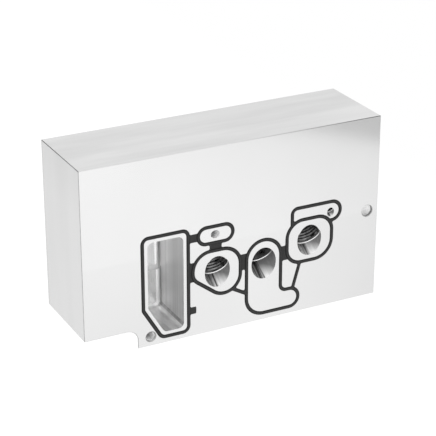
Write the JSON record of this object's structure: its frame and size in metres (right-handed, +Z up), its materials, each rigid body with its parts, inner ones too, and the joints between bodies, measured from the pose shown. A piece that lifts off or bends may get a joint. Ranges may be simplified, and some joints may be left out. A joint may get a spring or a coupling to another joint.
{
  "type": "machined manifold block",
  "caption": "Machined aluminium manifold block with a milled pocket, rising ports, tapped holes and a moulded rubber gasket pressed into grooves in its front face.",
  "frame": {"origin": "middle of the block's length and depth, on its underside", "axes": "+X along the front face to the viewer's right, +Y from the front face into the block, +Z up"},
  "size_m": [0.24, 0.0685, 0.145],
  "materials": {
    "machined_aluminium": "fine milled, slightly satin",
    "gasket_rubber": "matt black moulded rubber"
  },
  "bodies": {
    "root": {"manifold_block": "machined_aluminium", "port_gasket": "gasket_rubber"}
  },
  "joints": []
}
